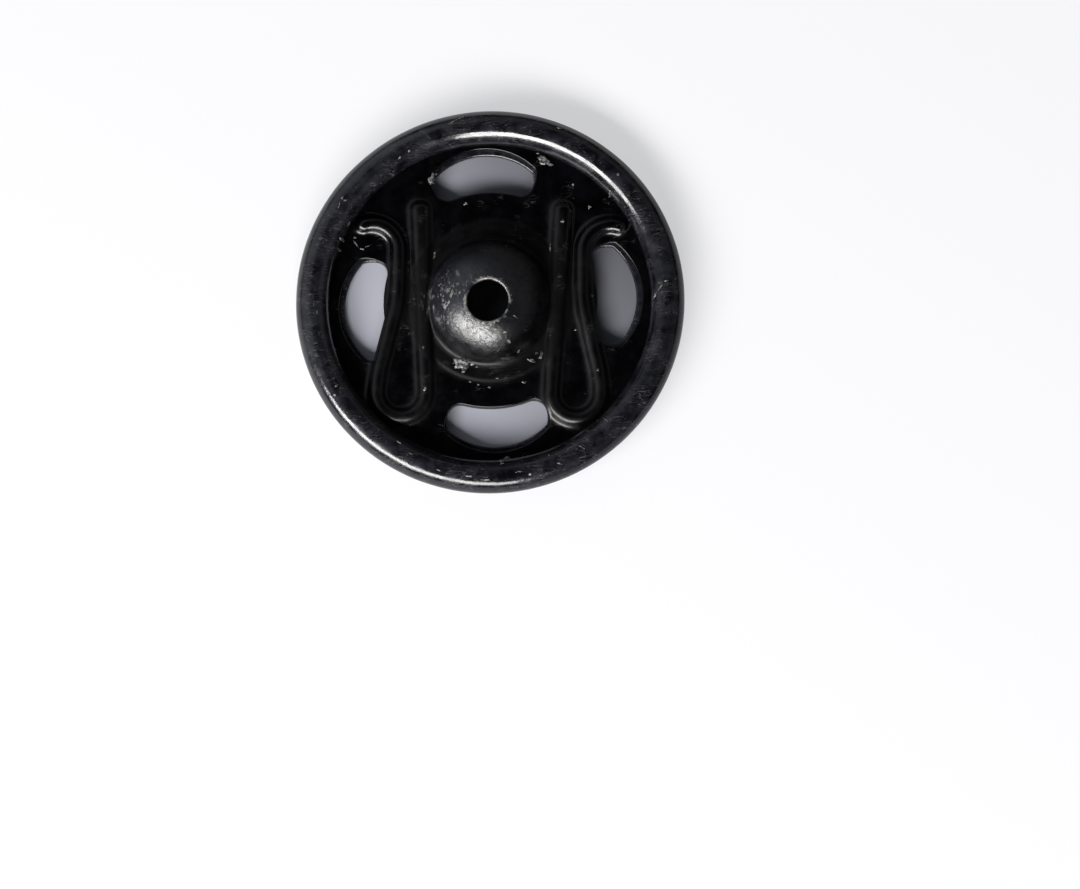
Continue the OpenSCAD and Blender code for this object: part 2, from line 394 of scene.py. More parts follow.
def plateHeight(x, y):
    ridge = snap["plateTop"] + channelHeight(pathDistance(x, y))
    return smoothMax(domeHeight(np.hypot(x, y)), ridge, dome["crossing"])


def rimHeight(r):
    # The curl's round top
    return snap["rim"] + np.sqrt(np.maximum(snap["rim"] ** 2 - (r - snap["rimMiddle"]) ** 2, 0))


class Wiring:
    # Short ways to add nodes to a tree and join them
    def __init__(self, tree):
        self.tree = tree

    def join(self, value, socket):
        # Links a socket, and sets anything else as the value
        if isinstance(value, bpy.types.NodeSocket):
            self.tree.links.new(value, socket)
        else:
            socket.default_value = value

    def node(self, kind, values=None, **settings):
        made = self.tree.nodes.new("ShaderNode" + kind)
        for key, value in settings.items():
            setattr(made, key, value)
        for key, value in (values or {}).items():
            self.join(value, made.inputs[key])
        return made

    def effect(self, group, place, values):
        made = self.tree.nodes.new("ShaderNodeGroup")
        made.node_tree = group
        for key, value in {"Vector": place, **values}.items():
            self.join(value, made.inputs[key])
        return made.outputs

    def math(self, operation, a, b=None):
        values = {0: a} if b is None else {0: a, 1: b}
        return self.node("Math", values, operation=operation).outputs[0]

    def plus(self, a, b):
        return self.math("ADD", a, b)

    def minus(self, a, b):
        return self.math("SUBTRACT", a, b)

    def times(self, a, b):
        return self.math("MULTIPLY", a, b)

    def larger(self, a, b):
        return self.math("MAXIMUM", a, b)

    def vector(self, operation, a, b):
        return self.node("VectorMath", {0: a, 1: b}, operation=operation).outputs[0]

    def scaled(self, a, scale):
        return self.node("VectorMath", {0: a, "Scale": scale}, operation="SCALE").outputs[0]

    def measure(self, operation, a, b=None):
        values = {0: a} if b is None else {0: a, 1: b}
        return self.node("VectorMath", values, operation=operation).outputs["Value"]

    def noise(self, vector, scale, detail=2.0, rough=0.5):
        values = {"Vector": vector, "Scale": scale, "Detail": detail, "Roughness": rough}
        return self.node("TexNoise", values).outputs["Fac"]

    def between(self, value, low, high, start=0.0, end=1.0, kind="SMOOTHSTEP"):
        values = {"Value": value, "From Min": low, "From Max": high, "To Min": start, "To Max": end}
        return self.node("MapRange", values, interpolation_type=kind).outputs["Result"]

    def spots(self, place, noise, limits):
        # A noise (scale, detail, roughness) between limits (low, high, start, end)
        return self.between(self.noise(place, *noise), *limits)

    def mixColor(self, factor, a, b):
        made = self.node("Mix", data_type="RGBA")
        for key, value in ((0, factor), (6, a), (7, b)):
            self.join((*value, 1) if isinstance(value, tuple) else value, made.inputs[key])
        return made.outputs[2]


# Shared effects, as node groups that put out masks and heights only
def newGroup(name, numbers, outputs):
    # A group that is given the place and the named numbers, and puts out numbers
    group = bpy.data.node_groups.new(name, "ShaderNodeTree")

    def socket(label, way, kind="Float"):
        return group.interface.new_socket(name=label, in_out=way, socket_type="NodeSocket" + kind)

    socket("Vector", "INPUT", "Vector")
    for label in numbers:
        socket(label, "INPUT")
    for label in outputs:
        socket(label, "OUTPUT")
    given, made = group.nodes.new("NodeGroupInput"), group.nodes.new("NodeGroupOutput")
    return Wiring(group), given.outputs, made.inputs


scratchLook = {
    "ways": ((0.5, 7.0), (-1.1, 5.0)),  # turn and stretch of the two sets of scratches
    "patches": 0.9,  # scale of the patches that they show in, against their own
    "fade": 0.08,
}


def makeScuffGroup():
    # Fine short scratches: thin level lines of a noise that is stretched one way
    w, given, made = newGroup("scuffs", ["Scale", "Width", "Amount"], ["Mask"])
    lines = []
    for turn, stretch in scratchLook["ways"]:
        values = {"Vector": given["Vector"], "Rotation": (0, 0, turn), "Scale": (1, stretch, 1)}
        field = w.noise(w.node("Mapping", values).outputs[0], given["Scale"], 1.0)
        lines.append(w.between(w.math("ABSOLUTE", w.minus(field, 0.5)), 0.0, given["Width"], 1.0, 0.0))
    patches = w.noise(given["Vector"], w.times(given["Scale"], scratchLook["patches"]), 2.0)
    limit = w.minus(1.0, given["Amount"])
    shown = w.between(patches, limit, w.plus(limit, scratchLook["fade"]))
    w.join(w.times(w.larger(*lines), shown), made["Mask"])
    return w.tree


nickLook = {
    "bend": 0.0001,  # how far a nick's outline strays, in metres
    "bendScale": 3.0,  # of the noise that bends it, against the nicks' own
    "heart": 0.5,  # share of a nick that is wholly bare
}


def makeNickGroup():
    # Scattered specks where the lacquer is nicked: the hearts of a few cells
    w, given, made = newGroup("nicks", ["Scale", "Size", "Share"], ["Mask"])
    place, scale, size = given["Vector"], given["Scale"], given["Size"]
    bent = w.node("TexNoise", {"Vector": place, "Scale": w.times(scale, nickLook["bendScale"])})
    shift = w.vector("SUBTRACT", bent.outputs["Color"], (0.5, 0.5, 0.5))
    place = w.vector("ADD", place, w.scaled(shift, nickLook["bend"]))
    cells = w.node("TexVoronoi", {"Vector": place, "Scale": scale})
    heart = w.between(cells.outputs["Distance"], w.times(size, nickLook["heart"]), size, 1.0, 0.0)
    chosen = w.node("SeparateColor", {0: cells.outputs["Color"]}).outputs[0]
    w.join(w.times(heart, w.math("LESS_THAN", chosen, given["Share"])), made["Mask"])
    return w.tree


skinLook = {
    "ripple": (2.0, 0.5),  # detail and roughness of each noise
    "grain": (3.0, 0.6),
    "patches": (4.0, 0.65),
    "patchScale": 1.7,  # of the patches, against the ripple's
}


def makeSkinGroup():
    # The lacquer's uneven skin: a slow ripple and a fine grain as one height, and its patches
    numbers = ["Ripple", "Grain", "Grain Share"]
    w, given, made = newGroup("lacquerSkin", numbers, ["Height", "Patches"])
    slow = w.noise(given["Vector"], given["Ripple"], *skinLook["ripple"])
    fine = w.noise(given["Vector"], given["Grain"], *skinLook["grain"])
    w.join(w.plus(slow, w.times(fine, given["Grain Share"])), made["Height"])
    scale = w.times(given["Ripple"], skinLook["patchScale"])
    w.join(w.noise(given["Vector"], scale, *skinLook["patches"]), made["Patches"])
    return w.tree


scuffs, nicks, skin = makeScuffGroup(), makeNickGroup(), makeSkinGroup()


def newMaterial(name):
    # An empty material, its wiring and the place on the piece for its nodes to read
    material = bpy.data.materials.new(name)
    material.use_nodes = True
    material.node_tree.nodes.clear()
    w = Wiring(material.node_tree)
    return material, w, w.node("TexCoord").outputs["Object"]


def useShader(w, shader, kind="OutputMaterial"):
    w.join(shader.outputs[0], w.node(kind).inputs["Surface"])


# Wear of the plate, and a painted sheen on its dome. Sizes and places are in metres; a noise is (scale,
# detail, roughness), and its limits say where it starts and ends, and with what values.
wearAndSheen = {
    "ringWidth": 0.11 * mm,  # of the broken ring of bare metal round the hole in the dome
    "ringStray": 0.0006,
    "ringSoft": 0.00002,
    "ringOutline": (6500.0, 3.0, 0.65),
    "ringGaps": ((2100.0, 2.0), (0.38, 0.50)),
    "ringPits": ((5200.0, 2.0), (0.4, 0.62, 0.2, 0.8)),
    "domeEdge": ((2.45 - 0.25) * mm, 2.45 * mm, 1.0, 0.0),  # where the rubbed dome ends
    "scuffMiddle": (-0.0016, 0.0001, 0.0015),
    "scuffReach": (0.0003, 0.0015, 1.0, 0.0),
    "streakStretch": (1, 0.45, 0.6),
    "streakTurn": 0.5,
    "streaks": ((5200.0, 5.0, 0.72), (0.535, 0.585)),
    "streakPatches": ((2300.0, 2.0), (0.38, 0.52)),
    "scuffStrength": 0.75,
    # painted sheen: the dome's upper left is made lighter and bluish, in patches, where the fill light
    # falls
    "paintedSheenMiddle": (-0.0009, 0.0010, 0.0017),
    "paintedSheenReach": (0.0012, 0.0034, 1.0, 0.0),
    "paintedSheenPatches": (0.1, 0.7, 0.5, 1.0),
    "paintedSheenColour": (0.011, 0.0115, 0.015),
    "creaseIn": (0.0022, 0.0026),  # the dull crease at the dome's foot
    "creaseOut": (0.0031, 0.0034, 1.0, 0.0),
    "creaseRough": 0.3,
    "creaseGloss": 0.35,
    "grit": (9000.0, 4.0, 0.75),  # sparkling grain on the dome
    "gritHeight": 2.3,
    "glossSpots": ((6500.0, 3.0, 0.7), (0.5, 0.58, 1.0, 0.2)),
    "glossAdded": 0.32,
    "pressedRough": 0.16,  # the channels' lacquer is duller
}


def plateWearAndSheen(w, place, patches):
    # Masks of the plate's wear: bare metal, the rubbed dome and the crease at its foot; and a painted
    # sheen on the dome's upper left, where the fill light falls
    x, y, radius = snap["vent"]
    level = (1, 1, 0)
    moved = w.vector("SUBTRACT", place, (x * mm, y * mm, 0))
    fromVent = w.measure("LENGTH", w.vector("MULTIPLY", moved, level))
    stray = w.times(w.minus(w.noise(place, *wearAndSheen["ringOutline"]), 0.5), wearAndSheen["ringStray"])
    past = w.minus(fromVent, w.plus(stray, radius * mm + wearAndSheen["ringWidth"]))
    ring = w.between(past, -wearAndSheen["ringSoft"], wearAndSheen["ringSoft"], 1.0, 0.0)
    kept = w.times(w.spots(place, *wearAndSheen["ringGaps"]), w.spots(place, *wearAndSheen["ringPits"]))
    off = w.measure("LENGTH", w.vector("MULTIPLY", place, level))
    onDome = w.between(off, *wearAndSheen["domeEdge"])
    near = w.between(w.measure("DISTANCE", place, wearAndSheen["scuffMiddle"]), *wearAndSheen["scuffReach"])
    turn = {"Rotation": (0, 0, wearAndSheen["streakTurn"]), "Scale": wearAndSheen["streakStretch"]}
    laid = w.node("Mapping", {"Vector": place, **turn}).outputs[0]
    streaks = w.times(w.spots(laid, *wearAndSheen["streaks"]), w.spots(place, *wearAndSheen["streakPatches"]))
    scuffed = w.times(w.times(streaks, near), wearAndSheen["scuffStrength"])
    # painted sheen, fading with distance from a point on the dome's upper left
    away = w.between(w.measure("DISTANCE", place, wearAndSheen["paintedSheenMiddle"]), *wearAndSheen["paintedSheenReach"])
    paintedSheen = w.times(away, w.between(patches, *wearAndSheen["paintedSheenPatches"]))
    return {
        "bare": w.larger(w.times(ring, kept), scuffed),
        "dome": onDome,
        "paintedSheen": w.times(paintedSheen, onDome),
        "crease": w.times(w.between(off, *wearAndSheen["creaseIn"]), w.between(off, *wearAndSheen["creaseOut"])),
    }


# What both lacquers do where they are blotched, scratched or nicked down to the metal, and where the
# cap's gloss is lowered as painted shade
lacquerLook = {
    "blotches": (0.3, 0.7),
    "shinePatches": (0.35, 0.65),
    "bareRough": 0.45,
    "bareMetal": 0.35,
    # the cap's gloss is lowered towards its lower right: painted shade in the rim's reflections on that
    # side
    "paintedShadeAxis": (-0.8, 0.6, 0),  # towards the glossy side of the cap
    "paintedShadeReach": (-0.006, 0.004),
}


def lacquer(name, finish):
    # Black lacquer over steel: glossy or satin, scuffed, and nicked down to the metal; the plate's dome
    # gets a painted sheen, the cap painted shade on its lower right
    material, w, place = newMaterial(name)
    film = w.effect(skin, place, finish["skin"])
    patches, height = film["Patches"], film["Height"]
    scratched = w.times(w.effect(scuffs, place, finish["scuffs"])["Mask"], finish["scratchShine"])
    bare = w.effect(nicks, place, finish["nicks"])["Mask"]
    wearAndSheenMasks = plateWearAndSheen(w, place, patches) if finish["isPlate"] else None
    if wearAndSheenMasks:
        bare = w.larger(bare, wearAndSheenMasks["bare"])
    marked = w.larger(bare, scratched)
    blotches = w.between(patches, *lacquerLook["blotches"])
    coloured = w.mixColor(blotches, finish["black"], finish["dull"])
    if wearAndSheenMasks:
        # painted sheen mixed into the colour on the dome's upper left
        coloured = w.mixColor(wearAndSheenMasks["paintedSheen"], coloured, wearAndSheen["paintedSheenColour"])
    coloured = w.mixColor(marked, coloured, finish["metal"])
    rough = w.between(patches, *lacquerLook["shinePatches"], *finish["rough"])
    rough = w.larger(rough, w.times(marked, lacquerLook["bareRough"]))
    if wearAndSheenMasks:
        pressed = w.node("Attribute", attribute_name="pressed").outputs["Fac"]
        rough = w.plus(rough, w.times(pressed, wearAndSheen["pressedRough"]))
        rough = w.plus(rough, w.times(wearAndSheenMasks["crease"], wearAndSheen["creaseRough"]))
        grit = w.times(w.noise(place, *wearAndSheen["grit"]), wearAndSheenMasks["dome"])
        height = w.plus(height, w.times(grit, wearAndSheen["gritHeight"]))
    skinBump = {"Height": height, "Strength": finish["bump"], "Distance": finish["depth"]}
    bump = w.node("Bump", skinBump).outputs[0]
    surface = {"Base Color": coloured, "Roughness": rough, "Normal": bump}
    shader = w.node("BsdfPrincipled", surface)
    w.join(w.times(marked, lacquerLook["bareMetal"]), shader.inputs["Metallic"])
    if wearAndSheenMasks:
        spots = w.times(wearAndSheenMasks["dome"], w.spots(place, *wearAndSheen["glossSpots"]))
        gloss = w.plus(finish["specular"], w.times(spots, wearAndSheen["glossAdded"]))
        gloss = w.times(gloss, w.between(wearAndSheenMasks["crease"], 0.0, 1.0, 1.0, wearAndSheen["creaseGloss"]))
    else:
        # on the cap, painted shade: the gloss falls from the upper left to the lower right
        along = w.measure("DOT_PRODUCT", place, lacquerLook["paintedShadeAxis"])
        ends = finish["paintedShadeSpecular"], finish["specular"]
        gloss = w.between(along, *lacquerLook["paintedShadeReach"], *ends)
    shader.inputs["Specular IOR Level"].default_value = finish["specular"]
    w.join(gloss, shader.inputs["Specular IOR Level"])
    shader.inputs["Coat Weight"].default_value = finish["coat"]
    shader.inputs["Coat Roughness"].default_value = finish["coatRough"]
    useShader(w, shader)
    return material


# The plate's gloss, and the cap's more satin one. "rough" goes from the patches that shine
# to the dull ones.
glossy = {
    "isPlate": True,
    "black": (0.0003, 0.0003, 0.0005),
    "dull": (0.0009, 0.0008, 0.0013),
    "metal": (0.24, 0.235, 0.225),
    "rough": (0.14, 0.25),
    "skin": {"Ripple": 900.0, "Grain": 11000.0, "Grain Share": 0.35},
    "scuffs": {"Scale": 1400.0, "Width": 0.012, "Amount": 0.42},
    "nicks": {"Scale": 2600.0, "Size": 0.14, "Share": 0.02},
    "scratchShine": 0.15,
    "bump": 0.35,
    "depth": 0.00002,
    "specular": 0.30,
    "coat": 0.05,
    "coatRough": 0.08,
}
satin = {
    **glossy,
    "isPlate": False,
    "black": (0.0015, 0.0015, 0.0025),
    "dull": (0.0115, 0.0118, 0.0158),
    "rough": (0.11, 0.27),
    "skin": {"Ripple": 900.0, "Grain": 11000.0, "Grain Share": 0.16},
    "scuffs": {"Scale": 1400.0, "Width": 0.012, "Amount": 0.54},
    "nicks": {"Scale": 2600.0, "Size": 0.14, "Share": 0.03},
    "scratchShine": 0.2,
    "bump": 0.65,
    "depth": 0.00005,
    "specular": 0.6,
    # gloss on the cap's lower right, lowered as painted shade
    "paintedShadeSpecular": 0.25,
    "coat": 0.15,
    "coatRough": 0.07,
}
plateFinish = lacquer("plateLacquer", glossy)
capFinish = lacquer("capLacquer", satin)

# Bare steel: the wire's, and the chips', which keep spots of lacquer
wireSteel = {
    "colour": (0.45, 0.44, 0.42),
    "dark": 0.7,  # of the grain's dark parts
    "rough": (0.3, 0.7, 0.25, 0.4),
    "grain": (6000.0, 3.0),
}
chipSteel = {
    "colour": (0.21, 0.205, 0.2),
    "rough": (0.3, 0.7, 0.35, 0.55),
    "grain": (20000.0, 3.0),
    "spots": ((9000.0, 3.0, 0.7), (0.44, 0.56)),
    "lacquer": (0.01, 0.01, 0.012),
    "metallic": 0.45,
}


def plainSteel(name, steel):
    # Steel with a fine grain in its colour and gloss
    material, w, place = newMaterial(name)
    field = w.noise(place, *steel["grain"])
    if "spots" in steel:
        left = w.spots(place, *steel["spots"])
        colour = w.mixColor(left, steel["colour"], steel["lacquer"])
        metallic = w.minus(steel["metallic"], w.times(left, steel["metallic"]))
    else:
        dark = tuple(steel["dark"] * c for c in steel["colour"])
        colour, metallic = w.mixColor(field, dark, steel["colour"]), 1.0
    rough = w.between(field, *steel["rough"])
    surface = {"Base Color": colour, "Roughness": rough, "Metallic": metallic}
    useShader(w, w.node("BsdfPrincipled", surface))
    return material


wireFinish = plainSteel("springWire", wireSteel)
chipFinish = plainSteel("bareChips", chipSteel)
for node, material in (
    ("left_spring", wireFinish),
    ("right_spring", wireFinish),
    ("socket_cap", capFinish),
    ("back_plate", plateFinish),
):
    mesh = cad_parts[node].data
    mesh.materials.clear()
    mesh.materials.append(material)
print("materials made")

# The plate: rings from the hole in the dome to the edge under the curl
plateGrid = {
    "around": 480,
    "rings": 112,
    "ringGap": 0.053,
    "edge": 0.06,  # rounding of a pierced edge
    "uncentred": 1.5,  # over this radius the rings drift from the vent's middle to the axis
}


def sheetThickness(x, y):
    # Thinner over the drawn channels, and thicker straight down on the dome's steep side
    r = np.hypot(x, y)
    onRidge = channelHeight(pathDistance(x, y)) > dome["drawnFrom"]
    thick = np.where(onRidge & (r > dome["foot"] - dome["drawnIn"]), dome["drawn"], dome["sheet"])
    (footPast, footFade), (crownEnd, crownFade) = dome["flankFoot"], dome["flankCrown"]
    steep = smoothStep((dome["foot"] + footPast - r) / footFade)
    steep = steep * smoothStep((r - crownEnd) / crownFade)
    return thick * (1 + dome["flank"] * steep)


def makePlate():
    # Height over the polar grid: the dome's section, with the channels' ridges over the plate
    vx, vy, vr = snap["vent"]
    around, edge = plateGrid["around"], plateGrid["edge"]
    radii = np.linspace(vr + edge, snap["plateEdge"] - edge, plateGrid["rings"])
    drift = 1 - smoothStep((radii - radii[0]) / plateGrid["uncentred"])
    x, y, quads = polarGrid(radii, around, np.outer(drift, [vx, vy]))
    outline = kidneyOutline(snap["holeOut"] + snap["holeEase"])
    x, y, faces, outward = pierce(x, y, quads, outline, plateGrid)
    faceBorders(outward, around)
    top = plateHeight(x, y)
    bottom = np.maximum(top - sheetThickness(x, y), snap["capSheet"])
    points, faces = closeSheet(np.column_stack([x, y, top]), bottom, faces, outward, edge)
    return meshPiece("plate", points, faces, plateFinish)


# Where the plate's lacquer is duller, in millimetres: by each channel, but not at its curl.
# A pair is where a mark starts and over what width it grows.
dullMark = {
    "below": 0.05,  # under the plate's top
    "within": 6.4,
    "fade": (0.3, 0.5),
    "curlX": (2.8, 0.4),
    "curlY": (1.7, 0.5),
    "batches": 8,
}


def markPressed(piece):
    # Keeps at each point how near a channel is, for the lacquer to read
    place = np.empty(len(piece.data.vertices) * 3)
    piece.data.vertices.foreach_get("co", place)
    x, y = place[0::3] / mm, place[1::3] / mm
    value = np.zeros(len(x), np.float32)
    high = place[2::3] > (snap["plateTop"] - dullMark["below"]) * mm
    top = np.flatnonzero(high & (np.hypot(x, y) < dullMark["within"]))

    def grown(amount, mark):
        start, width = dullMark[mark]
        return smoothStep((amount - start) / width)

    for part in np.array_split(top, dullMark["batches"]):
        near = 1 - grown(pathDistance(x[part], y[part]), "fade")
        curl = grown(np.abs(x[part]), "curlX") * grown(y[part], "curlY")
        value[part] = near * (1 - curl)
    piece.data.attributes.new("pressed", "FLOAT", "POINT").data.foreach_set("value", value)


plate = makePlate()
markPressed(plate)
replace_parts(plate, "back_plate")

# The cap: a flat front with the mouth and the holes, and the curled rim
cap = {
    "around": 360,
    "rings": 60,
    "ringGap": 0.075,
    "edge": 0.08,
    "sunk": 0.004,  # of the front's inner face under the sheet's own thickness
    "curlAround": 720,
    "curlPoints": 72,
    "insidePoints": 24,
    "tipLift": (0.012, 0.03),  # of the curl's tip over the plate, outside and inside
    "root": (0.25, 0.02),  # how far the curl's section reaches into the front, and its margin
    "wobble": 0.012,  # how uneven the curl is
    "steady": 0.4,  # share of the wobble at the curl's foot
    "turnsAt": 0.3,  # the skin this far inside the curl's middle wobbles the other way
    # number, size and phase of the waves
    "waves": ((3, 0.5, 0.4), (5, 0.3, 2.1), (9, 0.25, 4.0), (14, 0.2, 1.2), (23, 0.12, 5.2)),
}


def makeFront():
    # A flat sheet over a polar grid, pierced by the sewing holes
    around, edge = cap["around"], cap["edge"]
    radii = np.linspace(snap["mouth"] + edge, snap["rimMiddle"] - edge, cap["rings"])
    x, y, quads = polarGrid(radii, around)
    x, y, faces, outward = pierce(x, y, quads, kidneyOutline(snap["holeOut"]), cap)
    faceBorders(outward, around)
    top = np.column_stack([x, y, np.full(x.size, snap["capSheet"] - cap["sunk"])])
    return closeSheet(top, np.zeros(x.size), faces, outward, edge)


def makeCurl():
    # Section of the curl swept round the axis: out along the round skin, back along the inside
    rim, middle, sheet = snap["rim"], snap["rimMiddle"], snap["capSheet"]
    within = rim - sheet
    over = rim - snap["plateTop"]
    outLift, inLift = cap["tipLift"]
    outEnd = 180 + math.degrees(math.asin((over - outLift) / rim))
    inEnd = 180 + math.degrees(math.asin((over - inLift) / within))
    out = np.radians(np.linspace(-90, outEnd, cap["curlPoints"]))
    back = np.radians(np.linspace(inEnd, -90, cap["insidePoints"]))
    reach, margin = cap["root"]
    section = np.concatenate([
        np.stack([middle + rim * np.cos(out), rim + rim * np.sin(out)], 1),
        np.stack([middle + within * np.cos(back), rim + within * np.sin(back)], 1),
        np.array([[middle - reach, sheet - margin], [middle - reach, margin]]),
    ])
    a = circle(cap["curlAround"])
    # The curl wavers a little: a few slow waves pull its skin inward and down
    wave = sum(size * (1 + np.cos(k * a + phase)) / 2 for k, size, phase in cap["waves"])
    lift = np.clip(section[:, 1] / (2 * rim), 0, 1)
    outside = np.sign(section[:, 0] - middle + cap["turnsAt"])
    share = cap["steady"] + (1 - cap["steady"]) * lift
    r = section[None, :, 0] - cap["wobble"] * np.outer(wave, share) * outside
    z = np.maximum(section[None, :, 1] - cap["wobble"] * np.outer(wave, lift), 0)
    points = np.stack([r * np.cos(a)[:, None], r * np.sin(a)[:, None], z], 2).reshape(-1, 3)
    return points, gridFaces(len(a), len(section), True, True)


def makeCap():
    points, faces = makeFront()
    curl, curlFaces = makeCurl()
    faces = faces + (curlFaces + len(points)).tolist()
    return meshPiece("cap", np.concatenate([points, curl]), faces, capFinish)


capPiece = makeCap()
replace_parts(capPiece, "socket_cap")

# The springs' tubes
tube = {
    "every": 3,  # of the path's points, so many apart
    "sides": 20,
    "endRings": 6,
    "blend": (3.45, 2.85),  # two distances from the axis
    "blendHeight": 0.0004,  # in metres
}


def makeSpring(name, side):
    # A round tube along the path, closed by half balls.
    path = np.concatenate([wirePath[:: tube["every"]], wirePath[-1:]]) * [side, 1]
    c, s = unit(spring["turn"])
    path = np.stack([path[:, 0] * c - path[:, 1] * s, path[:, 0] * s + path[:, 1] * c], 1)
    ahead = np.gradient(path, axis=0)
    ahead /= np.hypot(ahead[:, 0], ahead[:, 1])[:, None]
    radius, rings = snap["wire"], tube["endRings"]
    bulge = np.linspace(0, np.pi / 2, rings + 1)[:-1]
    start = path[0] - np.outer(np.cos(bulge), ahead[0]) * radius
    finish = path[-1] + np.outer(np.cos(bulge[::-1]), ahead[-1]) * radius
    full = np.concatenate([start, path, finish])
    way = np.concatenate([np.repeat(ahead[:1], rings, 0), ahead, np.repeat(ahead[-1:], rings, 0)])
    size = np.concatenate([np.sin(bulge), np.ones(len(path)), np.sin(bulge[::-1])]) * radius
    a = circle(tube["sides"])
    across = np.stack([way[:, 1], -way[:, 0]], 1)
    x = full[:, 0, None] + across[:, 0, None] * size[:, None] * np.cos(a)
    y = full[:, 1, None] + across[:, 1, None] * size[:, None] * np.cos(a)
    z = snap["wireHeight"] + size[:, None] * np.sin(a)
    points = np.stack([x, y, z], 2).reshape(-1, 3)
    faces = gridFaces(len(full), len(a), False, True).tolist()
    piece = meshPiece(name, points, faces, wireFinish, None)
    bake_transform(piece)
    return piece


# Chips and scratches of bare metal in the lacquer: place x and y, length, width and turn
chips = {
    "lift": 0.004,  # how far a chip's middle stands over the lacquer
    "ragged": 0.42,
    "waves": (2, 9),  # of the outline: from this many up to, but not with, that many
    "corners": 30,
    "inner": 0.55,  # size of the inner ring
    "crown": 1.0,  # heights of the middle, the inner ring, the outline and the underside
    "shoulder": 0.8,
    "brim": -0.3,
    "root": -2.0,
    "seed": 7,
}
chipMarks = [
    (-1.42, 0.19, 0.49, 0.106, 67), (-1.71, -0.23, 0.27, 0.177, 87), (-1.55, -0.12, 0.27, 0.089, 57),
    (-1.21, -2.33, 0.89, 0.399, 2), (-1.15, -2.57, 0.31, 0.222, 57), (-0.83, -2.41, 0.18, 0.089, -3),
    (-1.29, -2.42, 0.13, 0.089, -3), (-0.64, -2.52, 0.13, 0.066, -3), (-1.52, -2.3, 0.13, 0.062, 17),
    (1.45, -2.39, 0.31, 0.151, -23), (1.84, -2.21, 0.31, 0.133, 67), (1.66, -2.12, 0.13, 0.066, -3),
    (1, -2.07, 0.13, 0.062, 57), (1.13, -3.21, 0.18, 0.115, -3), (0.99, -0.89, 0.18, 0.062, -33),
    (0.67, -1.76, 0.13, 0.106, -3), (0.54, -1.44, 0.13, 0.058, -3), (0.23, -2.05, 0.13, 0.053, 27),
    (-2.05, 1.99, 0.35, 0.097, 77), (2.43, 2.01, 0.4, 0.089, 82), (2.98, 2.94, 0.18, 0.133, -3),
    (-2, 5, 0.44, 0.266, 67), (-1.87, 5.19, 0.18, 0.089, -3), (2.39, 5.46, 0.62, 0.355, -43),
    (2.65, 5.29, 0.22, 0.071, -23), (2.17, 5.75, 0.13, 0.071, -3), (-0.74, 3.94, 0.18, 0.106, 27),
    (4.04, 3.5, 0.18, 0.115, -3), (4.85, 3.9, 0.22, 0.08, 67), (4, -2.95, 0.13, 0.115, -3),
    (3.96, 0, 0.13, 0.097, -3), (0.23, -6.18, 0.44, 0.222, 27), (0.15, -6.37, 0.22, 0.133, 67),
    (-2.64, -1.64, 0.13, 0.115, -3), (-2.69, -3.29, 0.18, 0.115, 37), (-0.22, -3.33, 0.13, 0.089, -3),
    (0.1, -3.01, 0.13, 0.053, -3), (-0.94, -3.06, 0.13, 0.062, -3), (-0.64, -3.19, 0.12, 0.053, -3),
    (-5.56, 2.79, 0.18, 0.115, 17), (-5.69, 2.41, 0.13, 0.08, -3), (-5.06, 2.63, 0.4, 0.062, -63),
    (-4.84, 2.42, 0.22, 0.053, -13), (-4.61, 2.52, 0.31, 0.044, 17), (-5.09, 2.89, 0.13, 0.062, -3),
    (6.35, -0.27, 0.35, 0.062, 57), (6.6, 0.03, 0.4, 0.053, 47), (6.81, 0.23, 0.13, 0.062, 7),
    (-0.99, 7.06, 0.35, 0.058, 27), (-0.68, 7.2, 0.22, 0.044, 17), (5.23, 4.52, 0.13, 0.089, 67),
    (-5.43, 4.33, 0.22, 0.053, 57), (-5.56, 4.07, 0.27, 0.044, 67), (-5.32, 4.2, 0.13, 0.053, 27),
    (-6.74, 0.26, 0.18, 0.062, 82), (-6.64, -0.1, 0.13, 0.044, 77), (-2.75, 6, 0.13, 0.089, 27),
    (-3.15, 5.75, 0.13, 0.062, 37), (-6.07, -1.51, 0.13, 0.066, -3), (-6.04, -3.03, 0.13, 0.089, 57),
    (4.2, -5.02, 0.18, 0.053, -43), (3.21, -6.03, 0.22, 0.053, -33), (2.33, -6.61, 0.18, 0.053, -23),
    (3.21, -1.3, 0.12, 0.071, -3), (5.56, -4.13, 0.13, 0.053, -63), (3.07, 6.53, 0.18, 0.049, -23),
    (0.78, -6.82, 0.27, 0.049, 2), (-1.16, -6.87, 0.27, 0.053, -8), (-2.3, -6.57, 0.22, 0.053, -23),
    (-0.51, -7.05, 0.35, 0.053, -3), (-3.34, -5.86, 0.22, 0.044, -33), (-3.77, -5.37, 0.18, 0.058, -43),
]


